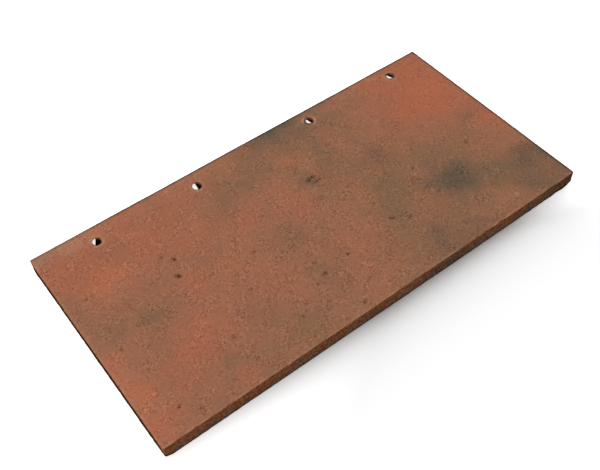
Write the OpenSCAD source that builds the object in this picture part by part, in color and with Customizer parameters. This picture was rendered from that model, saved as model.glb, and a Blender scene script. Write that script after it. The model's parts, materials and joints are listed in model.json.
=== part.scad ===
// Flat clay roof tile: one slab of fired clay with eased arrises and corners and a row of four
// punched nail holes along its head edge.
// The tile lies on its bed face. X runs along the courses, Y from the tail edge up to the head
// edge, and the origin is under the middle of the bed face.

/* [Tile] */
// Width of the tile, along the course
tile_w = 330; // [300:1:450]
// Length of the tile, from the tail edge to the head edge
tile_l = 165; // [110:1:300]
// Thickness of the clay
tile_t = 12; // [9:0.5:20]

/* [Edges] */
// Radius of the four corners, seen in plan
corner_r = 1.2; // [1:0.1:6]
// Radius of the arris round the weather face
face_arris_r = 0.6; // [0.2:0.1:0.9]
// Radius of the arris round the bed face
bed_arris_r = 0.7; // [0.2:0.1:0.9]

/* [Nail holes] */
// Diameter of a nail hole
hole_d = 6.2; // [4:0.1:10]
// Distance between the two holes of a pair, which one stroke of a twin punch makes
pair_span = 78; // [30:1:90]
// Distance between the middles of the two pairs
pair_pitch = 177; // [110:1:190]
// Shift of both pairs to the right of the tile's middle
pair_shift = 4.4; // [-6:0.1:6]
// Distance of the left pair from the head edge
left_head_dist = 13.6; // [10:0.1:40]
// Distance of the right pair from the head edge
right_head_dist = 11.2; // [10:0.1:40]
// Rounding of a hole's lip on the weather face, where the punch went in
hole_lip_r = 0.5; // [0.2:0.1:1.5]
// Width of the torn lip on the bed face, where the punch broke out
breakout_w = 1.2; // [0.2:0.1:2]
// Depth of the torn lip on the bed face
breakout_h = 2; // [0.5:0.1:4]

/* [Hidden] */
$fn = 64;
// Overrun of a cut past the face that it opens
overrun = 1;
// Fired clay, as the middle of the weather face shows it
clay_colour = [0.58, 0.39, 0.30];
// Plan distances from the middle of the tile to the centres of its rounded corners
corner_x = tile_w / 2 - corner_r;
corner_y = tile_l / 2 - corner_r;
// Middles of the left pair and the right pair of holes
pair_places = [
    [pair_shift - pair_pitch / 2, tile_l / 2 - left_head_dist],
    [pair_shift + pair_pitch / 2, tile_l / 2 - right_head_dist],
];

// What rounding a square outer corner takes off. The corner lies at the origin, and the clay
// to its lower left.
module arris_waste(r) {
    difference() {
        translate([-r, -r]) square(r + overrun);
        translate([-r, -r]) circle(r);
    }
}

// Section through one edge of the tile, from the corner's centre line out to the edge face
module edge_section() {
    difference() {
        square([corner_r, tile_t]);
        translate([corner_r, tile_t]) arris_waste(face_arris_r);
        translate([corner_r, 0]) mirror([0, 1]) arris_waste(bed_arris_r);
    }
}

// Section across the tile from the tail edge to the head edge
module cross_section() {
    translate([-corner_y, 0]) square([2 * corner_y, tile_t]);
    for (side = [0, 1])
        mirror([side, 0]) translate([corner_y, 0]) edge_section();
}

// The whole clay slab: its cross section drawn along the width, its edge section carried along
// the two short sides, and the same edge section turned round the four corners
module slab() {
    rotate([90, 0, 90]) linear_extrude(height = 2 * corner_x, center = true) cross_section();
    for (side = [0, 1])
        mirror([side, 0, 0]) {
            translate([corner_x, 0, 0]) rotate([90, 0, 0])
                linear_extrude(height = 2 * corner_y, center = true) edge_section();
            for (end = [0, 1])
                mirror([0, end, 0]) translate([corner_x, corner_y, 0])
                    rotate_extrude(angle = 90) edge_section();
        }
}

// One punched hole, standing on the bed face: a straight bore, a rounded lip where the punch
// went in and a torn, flared mouth where it came out
module nail_hole() {
    hole_r = hole_d / 2;
    translate([0, 0, -overrun]) cylinder(h = tile_t + 2 * overrun, d = hole_d);
    translate([0, 0, tile_t]) rotate_extrude()
        translate([hole_r, 0]) mirror([1, 0]) arris_waste(hole_lip_r);
    cylinder(h = breakout_h, r1 = hole_r + breakout_w, r2 = hole_r);
}

// The row of holes along the head edge: two pairs, set by hand and so not quite level
module nail_hole_row() {
    for (place = pair_places)
        for (side = [-1, 1])
            translate([place.x + side * pair_span / 2, place.y, 0]) nail_hole();
}

// The tile, one piece of fired clay
module tile() {
    color(clay_colour) difference() {
        slab();
        nail_hole_row();
    }
}

tile();
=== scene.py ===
import json

import bmesh
import bpy
import numpy as np
from mathutils import Matrix, Vector


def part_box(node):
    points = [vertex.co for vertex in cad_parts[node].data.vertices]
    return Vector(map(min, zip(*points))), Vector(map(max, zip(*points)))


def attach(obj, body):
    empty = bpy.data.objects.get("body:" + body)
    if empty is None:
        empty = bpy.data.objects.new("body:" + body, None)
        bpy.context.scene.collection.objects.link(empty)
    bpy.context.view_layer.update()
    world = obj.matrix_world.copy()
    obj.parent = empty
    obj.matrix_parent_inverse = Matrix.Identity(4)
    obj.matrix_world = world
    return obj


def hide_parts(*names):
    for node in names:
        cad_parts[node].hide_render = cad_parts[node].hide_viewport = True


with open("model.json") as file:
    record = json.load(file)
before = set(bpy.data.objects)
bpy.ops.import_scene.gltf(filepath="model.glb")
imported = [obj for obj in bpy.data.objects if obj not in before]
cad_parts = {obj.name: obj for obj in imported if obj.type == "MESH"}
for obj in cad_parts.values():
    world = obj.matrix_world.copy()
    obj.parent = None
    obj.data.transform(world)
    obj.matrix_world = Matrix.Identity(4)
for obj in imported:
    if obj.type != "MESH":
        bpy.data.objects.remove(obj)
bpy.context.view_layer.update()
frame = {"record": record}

# Clay slab: one flat roof tile of sand-faced fired clay. It was pressed, punched while soft and
# fired, so its faces are a little uneven, its arrises are eased and its holes have soft lips.
# All sizes here are in millimetres, and the mesh is brought to metres when it is stored.
MM = 0.001
half_w, half_l, thick = np.array(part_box("tile")[1]) / MM
# These radii and mouths repeat the sizes of the solid part.
corner_r = 1.2
face_arris_r = 0.6
bed_arris_r = 0.7
hole_lip_r = 0.5
breakout_w = 1.2
breakout_h = 2.0
nail_holes = [m for m in frame["record"]["mounts"] if m["kind"] == "bore"]
hole_r = nail_holes[0]["dims"]["r_mm"]
hole_places = [np.array(m["pos_m"][:2]) / MM for m in nail_holes]

# The skin is a grid of about this pitch, with shorter steps round the corners.
grid_pitch = 1.25
corner_steps = 4
# Cells on each side of the square patch that is left open round a hole
patch_cells = 12
# Keeps a division clear of zero
tiny = 1e-9


def face_lines(half, rim):
    """Grid lines across a face: even steps between the two corner centres, then short steps out
    over the rim, the part of the corner's radius that is still flat."""
    inner = half - corner_r
    core = np.linspace(-inner, inner, round(2 * inner / grid_pitch) + 1)
    short = rim * np.arange(1, corner_steps + 1) / corner_steps
    return np.concatenate([-inner - short[::-1], core, inner + short])


def beyond_corner_centres(x, y):
    """How far a plan point lies outside the lines through the corner centres, with its sign."""
    out_x = np.sign(x) * np.clip(abs(x) - (half_w - corner_r), 0, None)
    out_y = np.sign(y) * np.clip(abs(y) - (half_l - corner_r), 0, None)
    return out_x, out_y


def face_plan(rim):
    """Plan of a flat face. In the corner blocks a point (s, t) keeps its bearing from the corner's
    centre and takes max(s, t) as its distance, so the square corner becomes an arc."""
    x, y = np.meshgrid(face_lines(half_w, rim), face_lines(half_l, rim))
    s, t = beyond_corner_centres(x, y)
    drawn_in = np.maximum(abs(s), abs(t)) / np.maximum(np.hypot(s, t), tiny) - 1
    return x + s * drawn_in, y + t * drawn_in


def quarter_turn(steps):
    """Angles from 0 to a right angle in even steps, in radians."""
    return np.radians(np.linspace(0, 90, steps + 1))


def loop_of(grid):
    """The border of a grid of values, once round, counter-clockwise seen from +Z."""
    return np.concatenate([grid[0, :-1], grid[:-1, -1], grid[-1, :0:-1], grid[:0:-1, 0]])


def strip_faces(rows):
    """Quads between consecutive closed rows of vertex numbers."""
    nxt = np.roll(rows, -1, axis=1)
    return np.stack([rows[:-1], rows[1:], nxt[1:], nxt[:-1]], axis=-1).reshape(-1, 4)


skin_points, skin_faces = [], []


def add_points(x, y, z):
    """Stores points and gives their numbers back in the same layout."""
    first = sum(len(p) for p in skin_points)
    x, y, z = np.broadcast_arrays(x, y, z)
    skin_points.append(np.stack([x, y, z], axis=-1).reshape(-1, 3))
    return first + np.arange(x.size).reshape(x.shape)


# Weather face and bed face: two grids with a square patch of cells left out round each hole
face_x, face_y = face_plan(corner_r - face_arris_r)
bed_x, bed_y = face_plan(corner_r - bed_arris_r)
face_ids = add_points(face_x, face_y, thick)
bed_ids = add_points(bed_x, bed_y, 0.0)
kept_cells = np.ones((face_x.shape[0] - 1, face_x.shape[1] - 1), bool)
hole_patches = []
for place in hole_places:
    column = np.searchsorted(face_x[len(face_x) // 2], place[0]) - patch_cells // 2
    row = np.searchsorted(face_y[:, face_y.shape[1] // 2], place[1]) - patch_cells // 2
    hole_patches.append((slice(row, row + patch_cells + 1), slice(column, column + patch_cells + 1)))
    kept_cells[row:row + patch_cells, column:column + patch_cells] = False
for ids, turned in ((face_ids, False), (bed_ids, True)):
    quads = np.stack([ids[:-1, :-1], ids[:-1, 1:], ids[1:, 1:], ids[1:, :-1]], axis=-1)[kept_cells]
    skin_faces.append(quads[:, ::-1] if turned else quads)

# Edge: the arris round the weather face, the edge face and the arris round the bed face, as one
# profile of (distance from the corner centres, height) carried round the border of the face
arris_steps = 5
edge_steps = 8
arris_turn = quarter_turn(arris_steps)
edge_rise = np.linspace(thick - face_arris_r, bed_arris_r, edge_steps + 1)[1:-1]
edge_out = np.concatenate([
    corner_r - face_arris_r * (1 - np.sin(arris_turn)),
    np.full(edge_rise.shape, corner_r),
    corner_r - bed_arris_r * (1 - np.sin(arris_turn[::-1])),
])
edge_z = np.concatenate([
    thick - face_arris_r * (1 - np.cos(arris_turn)),
    edge_rise,
    bed_arris_r * (1 - np.cos(arris_turn[::-1])),
])
border_x, border_y = loop_of(face_x), loop_of(face_y)
border_out = np.stack(beyond_corner_centres(border_x, border_y))
border_out /= np.linalg.norm(border_out, axis=0)
centre_x = border_x - border_out[0] * edge_out[0]
centre_y = border_y - border_out[1] * edge_out[0]
edge_ids = add_points(
    centre_x + border_out[0] * edge_out[:, None],
    centre_y + border_out[1] * edge_out[:, None],
    edge_z[:, None],
)
skin_faces.append(strip_faces(edge_ids))

# Nail holes: rings from the square patch in to the lip, round the lip, down the bore, out over
# the torn mouth and back to the square patch of the bed face. The punch pushed a thin burr in
# over one side of each bore, under the lip: bearing of its middle in degrees, and distance of its
# straight inner edge from the bore's axis.
burrs = [(152, 0.9), (172, 0.25), (190, 0.05), (200, 0.5)]
burr_h = 1.4
patch_rings = 8
lip_steps = 6
bore_steps = 11
breakout_steps = 3
lip_turn = quarter_turn(lip_steps)
bore_rise = np.linspace(thick - hole_lip_r, breakout_h, bore_steps + 1)[1:]
breakout_share = np.arange(1, breakout_steps + 1) / breakout_steps
wall_r = np.concatenate([
    hole_r + hole_lip_r * (1 - np.sin(lip_turn)),
    np.full(bore_rise.shape, hole_r),
    hole_r + breakout_w * breakout_share,
])
wall_z = np.concatenate([
    thick - hole_lip_r * (1 - np.cos(lip_turn)),
    bore_rise,
    breakout_h * (1 - breakout_share),
])
burr_share = np.concatenate([
    np.sin(lip_turn),
    np.exp(-((thick - hole_lip_r - bore_rise) / burr_h) ** 2),
    np.zeros(breakout_steps),
])
ring_share = np.linspace(0, 1, patch_rings + 1)[:-1, None]
flat_rings = np.ones(patch_rings)
ring_z = np.concatenate([thick * flat_rings, wall_z, 0 * flat_rings])
for place, patch, (burr_deg, burr_edge) in zip(hole_places, hole_patches, burrs):
    top = np.stack([loop_of(face_x[patch]), loop_of(face_y[patch])])
    under = np.stack([loop_of(bed_x[patch]), loop_of(bed_y[patch])])
    bearing = np.arctan2(top[1] - place[1], top[0] - place[0])
    spoke = np.stack([np.cos(bearing), np.sin(bearing)])
    towards_burr = np.maximum(np.cos(bearing - np.radians(burr_deg)), tiny)
    burr = np.clip(hole_r - burr_edge / towards_burr, 0, None)
    wall_reach = wall_r[:, None] - burr_share[:, None] * burr
    wall = place[:, None, None] + spoke[:, None, :] * wall_reach
    rings_in = top[:, None, :] * (1 - ring_share) + wall[:, :1, :] * ring_share
    rings_out = under[:, None, :] * (1 - ring_share) + wall[:, -1:, :] * ring_share
    ring_x, ring_y = np.concatenate([rings_in, wall, rings_out[:, ::-1]], axis=1)
    skin_faces.append(strip_faces(add_points(ring_x, ring_y, ring_z[:, None]))[:, ::-1])

# The stretches meet in doubled points, which are welded.
weld_gap = 0.0001
points = np.concatenate(skin_points)
faces = np.concatenate(skin_faces)
tile_mesh = bpy.data.meshes.new("clay_tile")
tile_mesh.from_pydata(points * MM, [], faces)
shape = bmesh.new()
shape.from_mesh(tile_mesh)
bmesh.ops.remove_doubles(shape, verts=shape.verts, dist=weld_gap * MM)
bmesh.ops.recalc_face_normals(shape, faces=shape.faces)
shape.to_mesh(tile_mesh)
shape.free()


def vertex_rows(mesh, kind):
    """One row of three numbers for each vertex of a mesh: its place (co) or its normal."""
    flat = np.empty(3 * len(mesh.vertices))
    mesh.vertices.foreach_get(kind, flat)
    return flat.reshape(-1, 3)


def waves(p, shortest, longest, number, seed):
    """Uneven field of unit size: the sum of cosine waves that run in random directions, with
    lengths spread between the shortest and the longest."""
    rng = np.random.default_rng(seed)
    direction = rng.normal(size=(number, 3))
    direction /= np.linalg.norm(direction, axis=1, keepdims=True)
    length = shortest * (longest / shortest) ** rng.random(number)
    phase = 2 * np.pi * rng.random(number)
    steps = p @ (2 * np.pi * direction / length[:, None]).T + phase
    return np.cos(steps).sum(axis=1) * np.sqrt(2 / number)


def patches_at(marks, p, stray, seed):
    """Sum of soft round patches, each exp(-(dx/rx)^2 - (dy/ry)^2) times its strength. The points
    are first moved by an uneven field, so that the outlines stray."""
    shortest, longest, number = 12, 40, 24
    x = p[:, 0] + stray * waves(p, shortest, longest, number, seed)
    y = p[:, 1] + stray * waves(p, shortest, longest, number, seed + 1)
    total = np.zeros(len(p))
    for mark_x, mark_y, reach_x, reach_y, strength in marks:
        total += strength * np.exp(-((x - mark_x) / reach_x) ** 2 - ((y - mark_y) / reach_y) ** 2)
    return total


def near(distance, reach):
    """1 on a line and less beside it: exp(-(distance / reach)^2)."""
    return np.exp(-(distance / reach) ** 2)


def grows(value, start, full):
    """0 as far as the start, 1 from full on and even between them. Full may be the lower one."""
    return np.clip((value - start) / (full - start), 0, 1)


# Relief of the fired clay, laid on the plain skin along its normals
skin = vertex_rows(tile_mesh, "co") / MM
normal = vertex_rows(tile_mesh, "normal")
count = len(skin)
on_face = np.clip(normal[:, 2], 0, 1)
on_bed = np.clip(-normal[:, 2], 0, 1)
on_side = 1 - np.clip(abs(normal[:, 2]), 0, 1)

# Burnt-out grit left these pits in the weather face: place, half length, half width, bearing of
# the length in degrees, depth. The arris has none.
pits = [
    (-96, 12, 2.2, 1.2, -45, 0.5), (-91, 25, 1.7, 1.3, 20, 0.4), (-144, -66, 1.7, 0.9, 15, 0.4),
    (41, -36, 2.0, 1.1, -45, 0.4), (51, -38, 1.7, 0.9, -10, 0.3), (51, -42, 2.0, 1.0, -15, 0.35),
    (18, 25, 1.8, 1.2, 0, 0.4), (22, 26, 2.2, 1.0, -20, 0.4), (22, 21, 1.7, 1.0, 20, 0.4),
    (25, 21, 1.5, 1.0, -50, 0.35), (-22, -44, 1.9, 1.2, 0, 0.35), (-1, -41, 1.3, 1.1, 0, 0.35),
    (-94, -47, 1.5, 1.1, 30, 0.3), (-16, -76, 1.6, 1.1, 0, 0.3), (-132, 9, 1.6, 0.9, -70, 0.22),
    (-47, -2, 1.4, 1.0, 0, 0.3), (128, -16, 2.0, 1.5, 10, 0.25), (-97, 31, 1.4, 1.0, 0, 0.3),
    (81, -38, 1.5, 1.0, 0, 0.28), (-66, -10, 2.2, 1.6, 0, 0.2), (-45, -55, 1.5, 1.1, 30, 0.25),
    (82, -11, 1.8, 0.9, 20, 0.25), (-151, -13, 1.4, 1.0, 0, 0.25), (-151, 32, 1.9, 1.6, 40, 0.16),
]
level_from = 0.9
pit_depth = np.zeros(count)
for pit_x, pit_y, half_long, half_short, bearing_deg, depth in pits:
    from_pit = skin[:, :2] - (pit_x, pit_y)
    lie = np.radians(bearing_deg)
    along = from_pit @ (np.cos(lie), np.sin(lie))
    across = from_pit @ (-np.sin(lie), np.cos(lie))
    pit_depth += depth * np.exp(-(along / half_long) ** 2 - (across / half_short) ** 2)
pit_depth *= on_face > level_from

# The clay is uneven in three sizes: height, shortest and longest wave, number of waves, seed. The
# edges were cut straight, so they stray less than the faces, but the cut left them rough. The bed
# face was drawn over a wet table, which left faint grooves along X.
uneven = [(0.06, 50, 140, 30, 1), (0.02, 9, 25, 60, 2), (0.015, 4, 8, 120, 3)]
straightness = 0.5
cut_h = 0.05
groove_h = 0.06
across_grooves = (0.04, 1.0, 0.0)
relief = sum(rise * waves(skin, *spread) for rise, *spread in uneven)
relief *= 1 - straightness * on_side
relief += cut_h * on_side * waves(skin, 2.5, 6, 80, seed=5)
relief += groove_h * on_bed * waves(skin * across_grooves, 4, 12, 24, seed=4)
relief -= pit_depth
skin_out = skin + normal * relief[:, None]

# Knocks took the lower corners of the tail edge: place, reach along X and Y, height lost. A loss
# below the least one leaves the bed face whole.
knocks = [
    (-half_w, -half_l, 4.0, 5.0, 2.4), (half_w, -half_l, 5.0, 5.0, 3.7),
    (half_w - 15, -half_l, 5.0, 2.5, 1.4),
]
least_knock = 0.05
knock_floor = patches_at(knocks, skin, stray=0.25, seed=12)
skin_out[:, 2] = np.maximum(skin_out[:, 2], np.clip(knock_floor - least_knock, 0, None))
tile_mesh.vertices.foreach_set("co", (skin_out * MM).ravel())
tile_mesh.polygons.foreach_set("use_smooth", np.ones(len(tile_mesh.polygons), bool))

# Marks that the kiln left on the weather face: place, reach along X and Y, strength.
# Smoke turned the clay grey, a low fire left it drab, and a hot flash turned it orange red.
smoke_marks = [
    (98, -36, 18, 13, 0.88), (150, -51, 13, 9, 0.65), (163, -59, 6, 14, 0.57), (25, 78, 20, 9, 0.9),
    (55, -67, 9, 13, 0.5), (139, -71, 10, 10, 0.45), (67, 14, 11, 10, 0.45), (20, 23, 6, 5, 0.35),
    (-21, -8, 8, 9, 0.2), (62, 80, 16, 7, 0.25), (16, 24, 4, 4, 0.3), (157, -76, 12, 8, 0.35),
    (82, -78, 14, 8, 0.35), (85, -28, 9, 9, 0.3), (48, 84, 32, 4, 0.45), (62, -82, 12, 6, 0.3),
    (166, -64, 4, 10, 0.4),
]
drab_marks = [
    (-125, -4, 7, 10, 0.7), (-147, 2, 9, 8, 0.4), (-100, -58, 11, 10, 0.6), (-18, 57, 18, 14, 0.62),
    (-39, 45, 12, 10, 0.35), (44, 40, 10, 17, 0.6), (58, -14, 16, 20, 0.65), (92, -5, 22, 14, 0.55),
    (142, -2, 12, 8, 0.45), (-24, -42, 7, 12, 0.5), (-52, -66, 20, 11, 0.5), (-161, 28, 6, 9, 0.4),
    (123, -50, 13, 12, 0.65), (142, -64, 24, 20, 0.6), (80, -60, 20, 15, 0.4), (97, -36, 24, 20, 0.45),
    (-137, -25, 12, 9, 0.25), (39, -32, 11, 11, 0.4), (44, 70, 24, 14, 0.7), (40, -55, 24, 26, 0.45),
    (12, 31, 9, 8, 0.45), (20, 62, 14, 10, 0.45), (46, 4, 16, 14, 0.25), (10, -20, 22, 16, 0.2),
    (30, 15, 26, 18, 0.25), (66, -74, 24, 10, 0.4), (10, -60, 16, 10, 0.2), (10, -77, 12, 6, 0.35),
    (-57, -77, 11, 6, 0.38), (52, -29, 12, 8, 0.25), (-18, -14, 8, 8, 0.25), (-116, -19, 8, 8, 0.25),
    (80, 22, 10, 9, 0.25), (2, -83, 16, 4, 0.3), (112, -14, 10, 8, 0.28), (22, -83, 24, 4, 0.25),
    (98, -83, 12, 4, 0.3), (142, -82, 22, 4, 0.35), (163, -23, 4, 10, 0.25),
]
flash_marks = [
    (144, 45, 30, 38, 0.8), (-132, 36, 19, 10, 0.8), (-150, 58, 18, 18, 0.28), (-161, -45, 9, 24, 0.8),
    (-116, -42, 22, 20, 0.55), (-2, 8, 17, 13, 0.35), (-60, -30, 24, 20, 0.25), (10, -40, 22, 18, 0.25),
    (159, -9, 6, 11, 0.8), (113, 72, 14, 12, 0.6), (20, 47, 10, 8, 0.25), (-90, -3, 16, 13, 0.32),
    (-36, 22, 14, 12, 0.25), (-158, -73, 10, 11, 0.65), (-102, -76, 14, 6, 0.3), (52, 55, 6, 5, 0.4),
    (-118, 64, 36, 24, 0.45), (112, 34, 20, 20, 0.4), (-84, 42, 22, 16, 0.25), (-66, 66, 16, 14, 0.35),
    (-138, 16, 10, 8, 0.35), (-62, 30, 18, 14, 0.2), (-161, -20, 7, 12, 0.3), (-138, -51, 9, 8, 0.2),
    (-161, 50, 7, 14, 0.35), (161, 26, 7, 14, 0.2),
]

# Painted shade lies on the two ends, in the bores, along the foot of the tail edge and on the right
# part of the tail edge: dark colour where these are in shade. Thin dark lines lie on the arrises of
# the head and the right end. On the left end the painted shade is thin by the tail. On the right end
# it is thicker, creeps round the corners and fades along the tail edge. Strengths run from 0 to 1.
edge_depth = 1.0
end_strength = 0.91
end_mottle = 0.04
left_least = 0.3
right_most = 1.06
creep_strength = 1.5
creep_w = 2.0
back_strength = 0.75
back_line_w = 0.9
tail_strength = 0.38
tail_fade = 18
foot_strength = 0.8
from_tail, from_head = half_l + skin[:, 1], half_l - skin[:, 1]
from_left, from_right = half_w + skin[:, 0], half_w - skin[:, 0]
below_face = thick - skin[:, 2]
above_foot = skin[:, 2] - knock_floor
upright = grows(on_side, 0, 2 / 3)
on_tail = upright * (from_tail < edge_depth)
left_painted_shade = (from_left < edge_depth) * np.maximum(grows(from_tail, 0.5, 4.5), left_least)
right_painted_shade = np.minimum(creep_strength * near(from_right, creep_w), right_most)
end_painted_shade = upright * np.maximum(left_painted_shade, right_painted_shade) * grows(below_face, 0.3, 2.5)
end_painted_shade *= end_strength + end_mottle * waves(skin, 2.5, 8, 60, seed=52)
from_back_line = np.clip(np.minimum(from_head, from_right) - face_arris_r, 0, None)
back_dark_line = back_strength * (1 - on_bed) * near(from_back_line, back_line_w)
tail_painted_shade = tail_strength * on_tail * near(from_right, tail_fade)
painted_shade_and_lines = np.maximum.reduce([end_painted_shade, back_dark_line, tail_painted_shade])
painted_shade_and_lines += foot_strength * on_tail * grows(above_foot, 2.4, 0.9)

# Pale places on the weather face: a painted highlight along the arris of the tail save by its right
# corner, worn patches, a painted highlight along the arris of the left end, and single grains of grit
worn_marks = [
    (-144, 79, 32, 9, 0.34), (-60, 76, 40, 6, 0.1), (48, 75, 24, 5, 0.13),
    (-160, -45, 12, 34, 0.12), (-132, 36, 22, 14, 0.1), (-42, 80, 14, 4, 0.13), (2, 81, 8, 3, 0.13),
    (110, 80, 18, 4, 0.18),
]
grit = [(120, -72, 0.6), (-68, 39, 0.4), (17, 16, 0.4), (78, -34, 0.35), (114, -49, 0.3), (143, -9, 0.3)]
grit_reach = (1.2, 1.1)
tail_line, tail_line_w = 0.4, 0.5
tail_pale, tail_mottle = 0.35, 0.3
left_line, left_line_w = 1.0, 0.8
left_pale = 0.15
grit_marks = [(x, y, *grit_reach, strength) for x, y, strength in grit]
pale_wear_and_highlight = on_face * near(from_tail - tail_line, tail_line_w) * grows(from_right, 0, 12)
pale_wear_and_highlight *= tail_pale + tail_mottle * waves(skin, 6, 20, 24, seed=51)
pale_wear_and_highlight += on_face * patches_at(worn_marks, skin, stray=3.0, seed=81)
pale_wear_and_highlight += left_pale * on_face * near(from_left - left_line, left_line_w)
pale_wear_and_highlight += on_face * patches_at(grit_marks, skin, stray=0.0, seed=83)

# The burr of each hole is painted white: painted light that stands for the bright floor seen through
# the hole. The lip round it and the bore below it get painted shade, and the clay that the punch raised
# round the lip gets a painted highlight in places. For each hole: strength of the painted shade on the
# lip, and how far it reaches in over the burr.
lip_painted_shades = [(0.45, 0.0), (0.6, 0.0), (0.9, 0.55), (0.75, 0.15)]
lip_shade_fade = 0.55
lip_shade_rim = hole_r + 0.1
bore_strength = 0.9
hole_light_rim = hole_r - 0.1
hole_light_fade = 0.2
raised_r, raised_w = hole_r + 1.5, 0.6
raised_pale, raised_mottle = 0.3, 0.3
raised_clay = raised_pale + raised_mottle * waves(skin, 4, 9, 24, seed=53)
bore_and_lip_painted_shade, hole_painted_light = np.zeros(count), np.zeros(count)
for place, (lip_shade_strength, lip_shade_w) in zip(hole_places, lip_painted_shades):
    distance = np.linalg.norm(skin[:, :2] - place, axis=1)
    lip_shade_middle = lip_shade_rim - lip_shade_w / 2
    beside_lip_shade = np.clip(abs(distance - lip_shade_middle) - lip_shade_w / 2, 0, None)
    bore_and_lip_painted_shade += bore_strength * (distance < lip_shade_rim) * grows(below_face, 0.6, 1.8)
    bore_and_lip_painted_shade += lip_shade_strength * on_face * near(beside_lip_shade, lip_shade_fade)
    hole_painted_light += grows(distance, hole_light_rim - lip_shade_w, hole_light_rim - lip_shade_w - hole_light_fade)
    pale_wear_and_highlight += on_face * near(distance - raised_r, raised_w) * raised_clay
hole_painted_light *= grows(below_face, 1.4, 0.8)

# The sand took in patches: well about the middle and on the edges, thinly towards the right end.
sand_marks = [
    (0, 0, 70, 40, 0.14), (135, -55, 40, 25, -0.18), (130, 35, 42, 55, -0.22), (-60, -58, 35, 18, -0.1),
]
sand_mean = 0.6
sand_on_edges = 0.3
sand_mottle = 0.22
sand_least = 0.15
sand = sand_mean + patches_at(sand_marks, skin, stray=3.0, seed=73) + sand_on_edges * on_side
sand += sand_mottle * waves(skin, 7, 20, 60, seed=71)

# On the edges the clay is paler towards the foot. Smoke stained them grey, more so in patches along
# the tail edge, and towards the right end they get painted shade that darkens and greys them.
foot_top = 7.0
foot_fade = 5.0
foot_mottle = 0.4
stain_marks = [(54, -82, 13, 30, 0.48), (143, -82, 14, 30, 0.16), (-66, -82, 12, 30, 0.12)]
stain_mean = 0.12
painted_shade_run = 800
stain_mottle = 0.08
stain_most = 0.8
foot = (foot_top - skin[:, 2]) / foot_fade + foot_mottle * waves(skin, 5, 16, 40, seed=61)
stain_and_painted_shade = stain_mean + skin[:, 0] / painted_shade_run + stain_mottle * waves(skin, 6, 30, 40, seed=62)
stain_and_painted_shade += patches_at(stain_marks, skin, stray=1.0, seed=63)

# Pits get painted shade at their bottoms, from this depth on.
dark_depth = 0.35
pit_focus = 1.5
looks = {
    "flash": patches_at(flash_marks, skin, stray=3.0, seed=41) * (1 - on_bed),
    "drab": patches_at(drab_marks, skin, stray=3.0, seed=31) * (1 - on_bed),
    "smoke": patches_at(smoke_marks, skin, stray=2.0, seed=21) * (1 - on_bed),
    "edge": on_side,
    "foot": on_side * np.clip(foot, 0, 1),
    "stain_and_painted_shade": on_side * np.clip(stain_and_painted_shade, 0, stain_most),
    "painted_shade_and_lines": painted_shade_and_lines + bore_and_lip_painted_shade,
    "pale_wear_and_highlight": pale_wear_and_highlight,
    "pit_painted_shade": grows(pit_depth, 0, dark_depth) ** pit_focus,
    "hole_painted_light": hole_painted_light,
    "sand": np.maximum(sand, sand_least) * (1 - np.clip(hole_painted_light, 0, 1)),
}
for name, values in looks.items():
    layer = tile_mesh.attributes.new(name, "FLOAT", "POINT")
    layer.data.foreach_set("value", np.clip(values, 0, 1))

tile = bpy.data.objects.new("clay_tile", tile_mesh)
bpy.context.scene.collection.objects.link(tile)


def linear(code):
    """Linear colour of an sRGB hex code. A channel c becomes c / 12.92 up to 0.04045, and
    ((c + 0.055) / 1.055) to the power 2.4 above that."""
    c = np.array([int(code[i:i + 2], 16) for i in (1, 3, 5)]) / 255
    return (*np.where(c <= 0.04045, c / 12.92, ((c + 0.055) / 1.055) ** 2.4), 1.0)


def add(tree, kind, inputs=None, **settings):
    """Adds one node. The settings are its properties, and inputs gives for each socket either
    a value or the output that feeds it."""
    node = tree.nodes.new(kind)
    for name, value in settings.items():
        setattr(node, name, value)
    for socket, value in (inputs or {}).items():
        if isinstance(value, bpy.types.NodeSocket):
            tree.links.new(value, node.inputs[socket])
        else:
            node.inputs[socket].default_value = value
    return node


# Sand-faced fired clay: an open, unglazed body that was rolled in sand before it was fired.
# It is quite matt, its colour drifts over centimetres, and fine grains show light and dark.
dull_body, bright_body = "#8c634d", "#9e684e"
drift_w = 24
# Nearly all of a noise pattern lies in this span.
noise_span = {"From Min": 0.3, "From Max": 0.7}
# Sockets of the Mix node when it mixes colours
FACTOR, FIRST, SECOND, MIXED = 0, 6, 7, 2
clay = bpy.data.materials.new("sand_faced_fired_clay")
clay.use_nodes = True
tree = clay.node_tree
tree.nodes.clear()
where = add(tree, "ShaderNodeTexCoord").outputs["Object"]
drift = add(
    tree, "ShaderNodeTexNoise",
    {"Vector": where, "Scale": 1 / (drift_w * MM), "Detail": 2.0, "Roughness": 0.6},
).outputs["Fac"]
drift_step = add(tree, "ShaderNodeMapRange", {"Value": drift, **noise_span}).outputs["Result"]
colour = add(
    tree, "ShaderNodeMix",
    {FACTOR: drift_step, FIRST: linear(dull_body), SECOND: linear(bright_body)}, data_type="RGBA",
).outputs[MIXED]

# The sand is finer than half a millimetre. Its pattern is drawn coarser, at this width and its octaves,
# because one point of the picture covers about 0.8 mm of the tile.
grain_w = 1.25
grain_h = 0.5
grain = add(
    tree, "ShaderNodeTexNoise",
    {"Vector": where, "Scale": 1 / (grain_w * MM), "Detail": 2.0, "Roughness": 0.95},
).outputs["Fac"]

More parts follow.
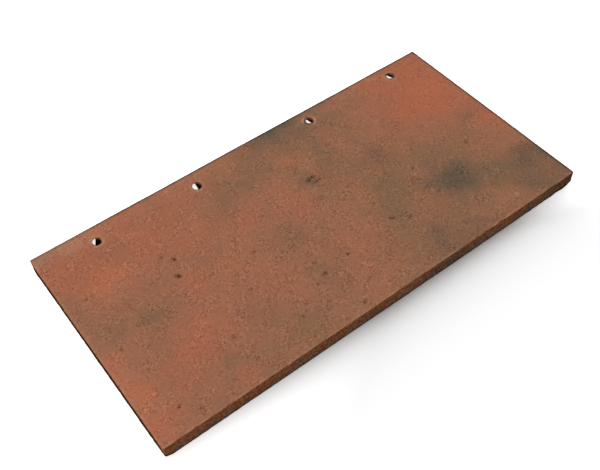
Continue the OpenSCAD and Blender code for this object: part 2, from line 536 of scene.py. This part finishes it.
# Coats of colour, laid on the body one after another. The dark coats for the ends, bores and pits are
# painted shade, and the white coat on the burrs is painted light. The grain frays the painted shade of
# the pits and the pale and highlighted places by this share.
coats = [
    ("flash", "#ac644a"), ("drab", "#785f49"), ("smoke", "#5c5144"), ("edge", "#b06d48"),
    ("foot", "#9c7863"), ("stain_and_painted_shade", "#625c4c"), ("painted_shade_and_lines", "#180b05"), ("pit_painted_shade", "#4a2a1a"),
    ("pale_wear_and_highlight", "#b88d72"), ("hole_painted_light", "#fbf8f4"),
]
frayed_coats = ("pit_painted_shade", "pale_wear_and_highlight")
fray = 0.7
frayed = add(
    tree, "ShaderNodeMapRange",
    {"Value": grain, **noise_span, "To Min": 1 + fray, "To Max": 1 - fray},
).outputs["Result"]
for name, code in coats:
    mark = add(tree, "ShaderNodeAttribute", attribute_name=name).outputs["Fac"]
    if name in frayed_coats:
        mark = add(tree, "ShaderNodeMath", {0: mark, 1: frayed}, operation="MULTIPLY").outputs[0]
    colour = add(
        tree, "ShaderNodeMix", {FACTOR: mark, FIRST: colour, SECOND: linear(code)}, data_type="RGBA"
    ).outputs[MIXED]

# Grains, and specks about 1 mm across, one in each cell of a wider pattern. Both go from dark to
# light by these shares.
grain_reach = 0.59
speck_reach = 0.42
speck_pitch = 4.0
speck_core_r, speck_rim_r = 0.32, 0.8
grain_swing = add(
    tree, "ShaderNodeMapRange",
    {"Value": grain, **noise_span, "To Min": -grain_reach, "To Max": grain_reach},
).outputs["Result"]
cells = add(tree, "ShaderNodeTexVoronoi", {"Vector": where, "Scale": 1 / (speck_pitch * MM)}).outputs
speck = add(
    tree, "ShaderNodeMapRange", {"Value": cells["Color"], "To Min": -speck_reach, "To Max": speck_reach}
).outputs["Result"]
speck_swing = add(
    tree, "ShaderNodeMapRange",
    {
        "Value": cells["Distance"], "From Min": speck_core_r / speck_pitch,
        "From Max": speck_rim_r / speck_pitch, "To Min": speck, "To Max": 0.0,
    },
).outputs["Result"]
# A grain changes blue more than red, so that light grains look bleached and dark ones brown.
grain_tint = (0.76, 1.12, 1.46)
unchanged = (1.0, 1.0, 1.0)
grain_tone, speck_tone = [
    add(
        tree, "ShaderNodeVectorMath", {0: swing, 1: grain_tint, 2: unchanged}, operation="MULTIPLY_ADD"
    ).outputs["Vector"]
    for swing in (grain_swing, speck_swing)
]
# On the cut edges the open body of the clay shows, with lumps about 2 mm across.
lump_w = 2.0
lump_reach = 0.4
lumps = add(
    tree, "ShaderNodeTexNoise",
    {"Vector": where, "Scale": 1 / (lump_w * MM), "Detail": 1.0, "Roughness": 0.7},
).outputs["Fac"]
lump_tone = add(
    tree, "ShaderNodeMapRange",
    {"Value": lumps, **noise_span, "To Min": 1 - lump_reach, "To Max": 1 + lump_reach},
).outputs["Result"]
sand_cover = add(tree, "ShaderNodeAttribute", attribute_name="sand").outputs["Fac"]
cut_edge = add(tree, "ShaderNodeAttribute", attribute_name="edge").outputs["Fac"]
for cover, tone in ((sand_cover, grain_tone), (sand_cover, speck_tone), (cut_edge, lump_tone)):
    colour = add(
        tree, "ShaderNodeMix", {FACTOR: cover, FIRST: colour, SECOND: tone},
        data_type="RGBA", blend_type="MULTIPLY",
    ).outputs[MIXED]
bump = add(
    tree, "ShaderNodeBump", {"Height": grain, "Strength": 0.35, "Distance": grain_h * MM}
).outputs["Normal"]
surface = add(
    tree, "ShaderNodeBsdfPrincipled",
    {"Base Color": colour, "Roughness": 0.95, "Specular IOR Level": 0.0, "Normal": bump},
)
add(tree, "ShaderNodeOutputMaterial", {"Surface": surface.outputs["BSDF"]})
tile_mesh.materials.append(clay)

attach(tile, "root")
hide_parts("tile")

# Floor: a white studio sweep, plain, matt and large enough to fill every view. The camera sees it
# white, but it throws back only as much light as a grey floor. For the eye it glows all round an
# area before the tail edge, so the tile's shadow shows there and nowhere else.
floor_half = 4000
floor_drop = 0.05
white = "#ffffff"
floor_grey = "#a8a8a8"
full_glow = 0.6
scene = bpy.context.scene
scene.view_settings.view_transform = "Standard"
corners = [(-1, -1), (1, -1), (1, 1), (-1, 1)]
floor_points = np.array([(x * floor_half, y * floor_half, -floor_drop) for x, y in corners])
floor_mesh = bpy.data.meshes.new("floor")
floor_mesh.from_pydata(floor_points * MM, [], [range(4)])
floor = bpy.data.objects.new("floor", floor_mesh)
scene.collection.objects.link(floor)
paint = bpy.data.materials.new("white_matt_paint")
paint.use_nodes = True
tree = paint.node_tree
tree.nodes.clear()


def seen_directly(tree):
    """1 for a ray that the eye follows, straight or by a mirror or glass, and 0 for the rest."""
    ray = add(tree, "ShaderNodeLightPath").outputs
    mirrored = add(
        tree, "ShaderNodeMath", {0: ray["Is Glossy Ray"], 1: ray["Is Transmission Ray"]}, operation="MAXIMUM"
    )
    either = {0: ray["Is Camera Ray"], 1: mirrored.outputs[0]}
    return add(tree, "ShaderNodeMath", either, operation="MAXIMUM").outputs[0]


seen = seen_directly(tree)
sweep_colour = add(
    tree, "ShaderNodeMix",
    {FACTOR: seen, FIRST: linear(floor_grey), SECOND: linear(white)}, data_type="RGBA",
)
coat = add(tree, "ShaderNodeBsdfDiffuse", {"Color": sweep_colour.outputs[MIXED]})
where = add(tree, "ShaderNodeTexCoord").outputs["Object"]
# The ways out of the shadow, to the left, the right corner, the right and the front: direction, how
# far along it the glow starts and is full, and how it grows between
ways_out = [
    ((-0.6, 0.8, 0.0), -64, 36, "LINEAR"), ((0.42, 0.91, 0.0), -35, -4, "SMOOTHSTEP"),
    ((1.0, 0.0, 0.0), 130, 450, "LINEAR"), ((0.0, -1.0, 0.0), 104, 860, "LINEAR"),
]
lift = 0.0
for way_out, starts, full, growth in ways_out:
    reach = add(tree, "ShaderNodeVectorMath", {0: where, 1: way_out}, operation="DOT_PRODUCT")
    side = add(
        tree, "ShaderNodeMapRange",
        {
            "Value": reach.outputs["Value"], "From Min": starts * MM, "From Max": full * MM,
            "To Min": 0.0, "To Max": full_glow,
        },
        interpolation_type=growth,
    )
    lifts = {0: lift, 1: side.outputs["Result"]}
    lift = add(tree, "ShaderNodeMath", lifts, operation="MAXIMUM").outputs[0]
lift_seen = add(tree, "ShaderNodeMath", {0: lift, 1: seen}, operation="MULTIPLY")
glow = add(tree, "ShaderNodeEmission", {"Color": linear(white), "Strength": lift_seen.outputs[0]})
lit_coat = add(tree, "ShaderNodeAddShader", {0: coat.outputs["BSDF"], 1: glow.outputs["Emission"]})
add(tree, "ShaderNodeOutputMaterial", {"Surface": lit_coat.outputs["Shader"]})
floor_mesh.materials.append(paint)

# Light: a white tent over the tile, brightest behind the head edge and dim towards the tail, so the
# tail edge is in shade and a soft shadow lies in front of it. Its mean level is about 1, at which a
# level face shows its own colour. For the eye it is plain white.
brightest = Vector((-0.3, 0.954, 0.0))
lean = 1.2
room = bpy.data.worlds.new("white_tent")
room.use_nodes = True
tree = room.node_tree
tree.nodes.clear()
direction = add(tree, "ShaderNodeTexCoord").outputs["Generated"]
towards = add(tree, "ShaderNodeVectorMath", {0: direction, 1: brightest}, operation="DOT_PRODUCT")
leaning = add(
    tree, "ShaderNodeMath", {0: towards.outputs["Value"], 1: lean, 2: 1.0}, operation="MULTIPLY_ADD"
)
tent_level = add(tree, "ShaderNodeMath", {0: leaning.outputs[0], 1: 0.0}, operation="MAXIMUM")
tent = add(tree, "ShaderNodeBackground", {"Color": linear(white), "Strength": tent_level.outputs[0]})
plain = add(tree, "ShaderNodeBackground", {"Color": linear(white), "Strength": 1.0})
shown = add(tree, "ShaderNodeMixShader", {0: seen_directly(tree), 1: tent.outputs[0], 2: plain.outputs[0]})
add(tree, "ShaderNodeOutputWorld", {"Surface": shown.outputs[0]})
scene.world = room

# Camera: it stands before the tail edge, out beyond the left end and high up, looks down at the
# middle of the tile and is turned a little about its own axis.
eye = Vector((-216.0, -293.6, 447.2)) * MM
aim = Vector((-15.6, -9.5, 11.9)) * MM
roll_deg = -2.57
lens = bpy.data.cameras.new("camera")
lens.sensor_width = 36.0
lens.lens = 51.21
camera = bpy.data.objects.new("camera", lens)
scene.collection.objects.link(camera)
facing = (aim - eye).to_track_quat("-Z", "Y").to_matrix().to_4x4()
camera.matrix_world = Matrix.Translation(eye) @ facing @ Matrix.Rotation(np.radians(roll_deg), 4, "Z")
scene.camera = camera
